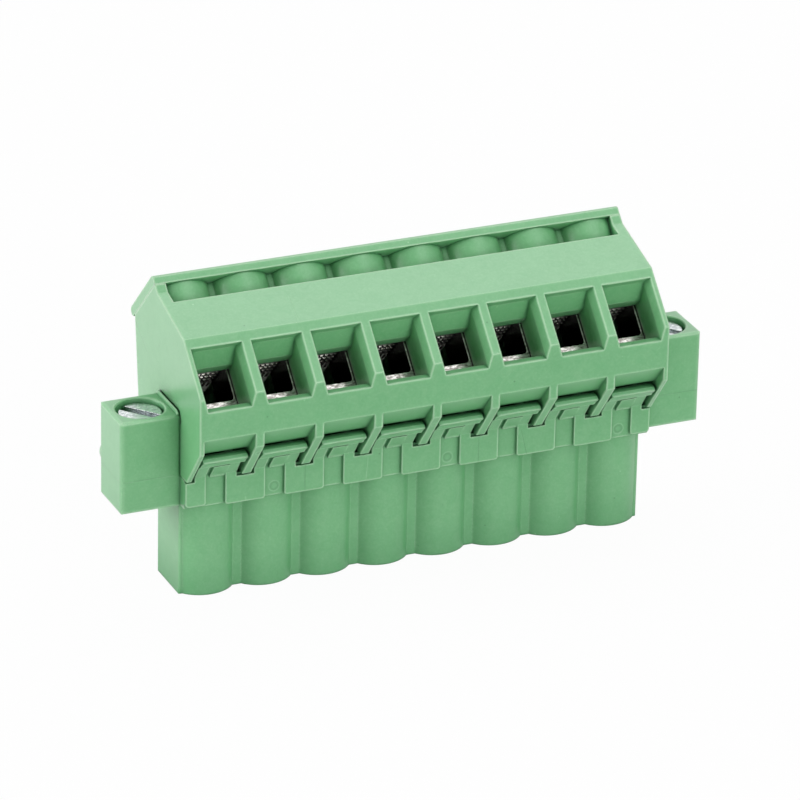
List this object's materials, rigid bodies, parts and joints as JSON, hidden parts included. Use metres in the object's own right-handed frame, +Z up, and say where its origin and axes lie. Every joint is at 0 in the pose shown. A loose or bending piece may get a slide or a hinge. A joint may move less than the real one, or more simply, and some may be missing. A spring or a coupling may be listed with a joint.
{
  "type": "pluggable terminal block",
  "caption": "Green pluggable screw terminal block with angled wire entries, half-round plug lobes and slotted screw flanges at both ends.",
  "frame": {"origin": "on the mating face of the plug, in the middle of the row of pin sockets", "axes": "+X along the row of poles; +Y towards the back wall, away from the wire entries; +Z up, from the mating face to the screw plate"},
  "size_m": [0.0506, 0.0152, 0.0253],
  "materials": {
    "polymer": "moulded polyamide, satin with a fine grain",
    "cage_metal": "nickel plated, bent strip",
    "screw_metal": "zinc plated, turned",
    "contact_metal": "tin plated copper alloy, stamped"
  },
  "bodies": {
    "housing": {"upper_housing": "polymer", "plug_housing": "polymer", "screw_plate": "polymer", "contact_1": "contact_metal", "contact_2": "contact_metal", "contact_3": "contact_metal", "contact_4": "contact_metal", "contact_5": "contact_metal", "contact_6": "contact_metal", "contact_7": "contact_metal", "contact_8": "contact_metal"},
    "screw_1": {"terminal_screw_1": "screw_metal"},
    "cage_1": {"clamp_cage_1": "cage_metal"},
    "screw_2": {"terminal_screw_2": "screw_metal"},
    "cage_2": {"clamp_cage_2": "cage_metal"},
    "screw_3": {"terminal_screw_3": "screw_metal"},
    "cage_3": {"clamp_cage_3": "cage_metal"},
    "screw_4": {"terminal_screw_4": "screw_metal"},
    "cage_4": {"clamp_cage_4": "cage_metal"},
    "screw_5": {"terminal_screw_5": "screw_metal"},
    "cage_5": {"clamp_cage_5": "cage_metal"},
    "screw_6": {"terminal_screw_6": "screw_metal"},
    "cage_6": {"clamp_cage_6": "cage_metal"},
    "screw_7": {"terminal_screw_7": "screw_metal"},
    "cage_7": {"clamp_cage_7": "cage_metal"},
    "screw_8": {"terminal_screw_8": "screw_metal"},
    "cage_8": {"clamp_cage_8": "cage_metal"},
    "flange_screw_left_body": {"flange_screw_left": "screw_metal"},
    "flange_screw_right_body": {"flange_screw_right": "screw_metal"}
  },
  "joints": [
    {"name": "screw_1_turn", "type": "hinge", "parent": "housing", "child": "screw_1", "pos_m": [-0.01778, 0.00475, 0.0225], "axis": [0, -0.7071, -0.7071], "range_deg": [0, 1944.01]},
    {"name": "cage_1_lift", "type": "slide", "parent": "housing", "child": "cage_1", "axis": [0, 0.7071, 0.7071], "range_m": [0, 0.0027]},
    {"name": "screw_2_turn", "type": "hinge", "parent": "housing", "child": "screw_2", "pos_m": [-0.0127, 0.00475, 0.0225], "axis": [0, -0.7071, -0.7071], "range_deg": [0, 1944.01]},
    {"name": "cage_2_lift", "type": "slide", "parent": "housing", "child": "cage_2", "axis": [0, 0.7071, 0.7071], "range_m": [0, 0.0027]},
    {"name": "screw_3_turn", "type": "hinge", "parent": "housing", "child": "screw_3", "pos_m": [-0.00762, 0.00475, 0.0225], "axis": [0, -0.7071, -0.7071], "range_deg": [0, 1944.01]},
    {"name": "cage_3_lift", "type": "slide", "parent": "housing", "child": "cage_3", "axis": [0, 0.7071, 0.7071], "range_m": [0, 0.0027]},
    {"name": "screw_4_turn", "type": "hinge", "parent": "housing", "child": "screw_4", "pos_m": [-0.00254, 0.00475, 0.0225], "axis": [0, -0.7071, -0.7071], "range_deg": [0, 1944.01]},
    {"name": "cage_4_lift", "type": "slide", "parent": "housing", "child": "cage_4", "axis": [0, 0.7071, 0.7071], "range_m": [0, 0.0027]},
    {"name": "screw_5_turn", "type": "hinge", "parent": "housing", "child": "screw_5", "pos_m": [0.00254, 0.00475, 0.0225], "axis": [0, -0.7071, -0.7071], "range_deg": [0, 1944.01]},
    {"name": "cage_5_lift", "type": "slide", "parent": "housing", "child": "cage_5", "axis": [0, 0.7071, 0.7071], "range_m": [0, 0.0027]},
    {"name": "screw_6_turn", "type": "hinge", "parent": "housing", "child": "screw_6", "pos_m": [0.00762, 0.00475, 0.0225], "axis": [0, -0.7071, -0.7071], "range_deg": [0, 1944.01]},
    {"name": "cage_6_lift", "type": "slide", "parent": "housing", "child": "cage_6", "axis": [0, 0.7071, 0.7071], "range_m": [0, 0.0027]},
    {"name": "screw_7_turn", "type": "hinge", "parent": "housing", "child": "screw_7", "pos_m": [0.0127, 0.00475, 0.0225], "axis": [0, -0.7071, -0.7071], "range_deg": [0, 1944.01]},
    {"name": "cage_7_lift", "type": "slide", "parent": "housing", "child": "cage_7", "axis": [0, 0.7071, 0.7071], "range_m": [0, 0.0027]},
    {"name": "screw_8_turn", "type": "hinge", "parent": "housing", "child": "screw_8", "pos_m": [0.01778, 0.00475, 0.0225], "axis": [0, -0.7071, -0.7071], "range_deg": [0, 1944.01]},
    {"name": "cage_8_lift", "type": "slide", "parent": "housing", "child": "cage_8", "axis": [0, 0.7071, 0.7071], "range_m": [0, 0.0027]},
    {"name": "flange_screw_left_turn", "type": "hinge", "parent": "housing", "child": "flange_screw_left_body", "pos_m": [-0.02285, 0, 0.0155], "axis": [0, 0, -1], "continuous": true},
    {"name": "flange_screw_right_turn", "type": "hinge", "parent": "housing", "child": "flange_screw_right_body", "pos_m": [0.02285, 0, 0.0155], "axis": [0, 0, -1], "continuous": true}
  ],
  "couplings": [
    {"joint": "screw_1_turn", "follows": "cage_1_lift", "rad_per_m": 12566},
    {"joint": "screw_2_turn", "follows": "cage_2_lift", "rad_per_m": 12566},
    {"joint": "screw_3_turn", "follows": "cage_3_lift", "rad_per_m": 12566},
    {"joint": "screw_4_turn", "follows": "cage_4_lift", "rad_per_m": 12566},
    {"joint": "screw_5_turn", "follows": "cage_5_lift", "rad_per_m": 12566},
    {"joint": "screw_6_turn", "follows": "cage_6_lift", "rad_per_m": 12566},
    {"joint": "screw_7_turn", "follows": "cage_7_lift", "rad_per_m": 12566},
    {"joint": "screw_8_turn", "follows": "cage_8_lift", "rad_per_m": 12566}
  ]
}
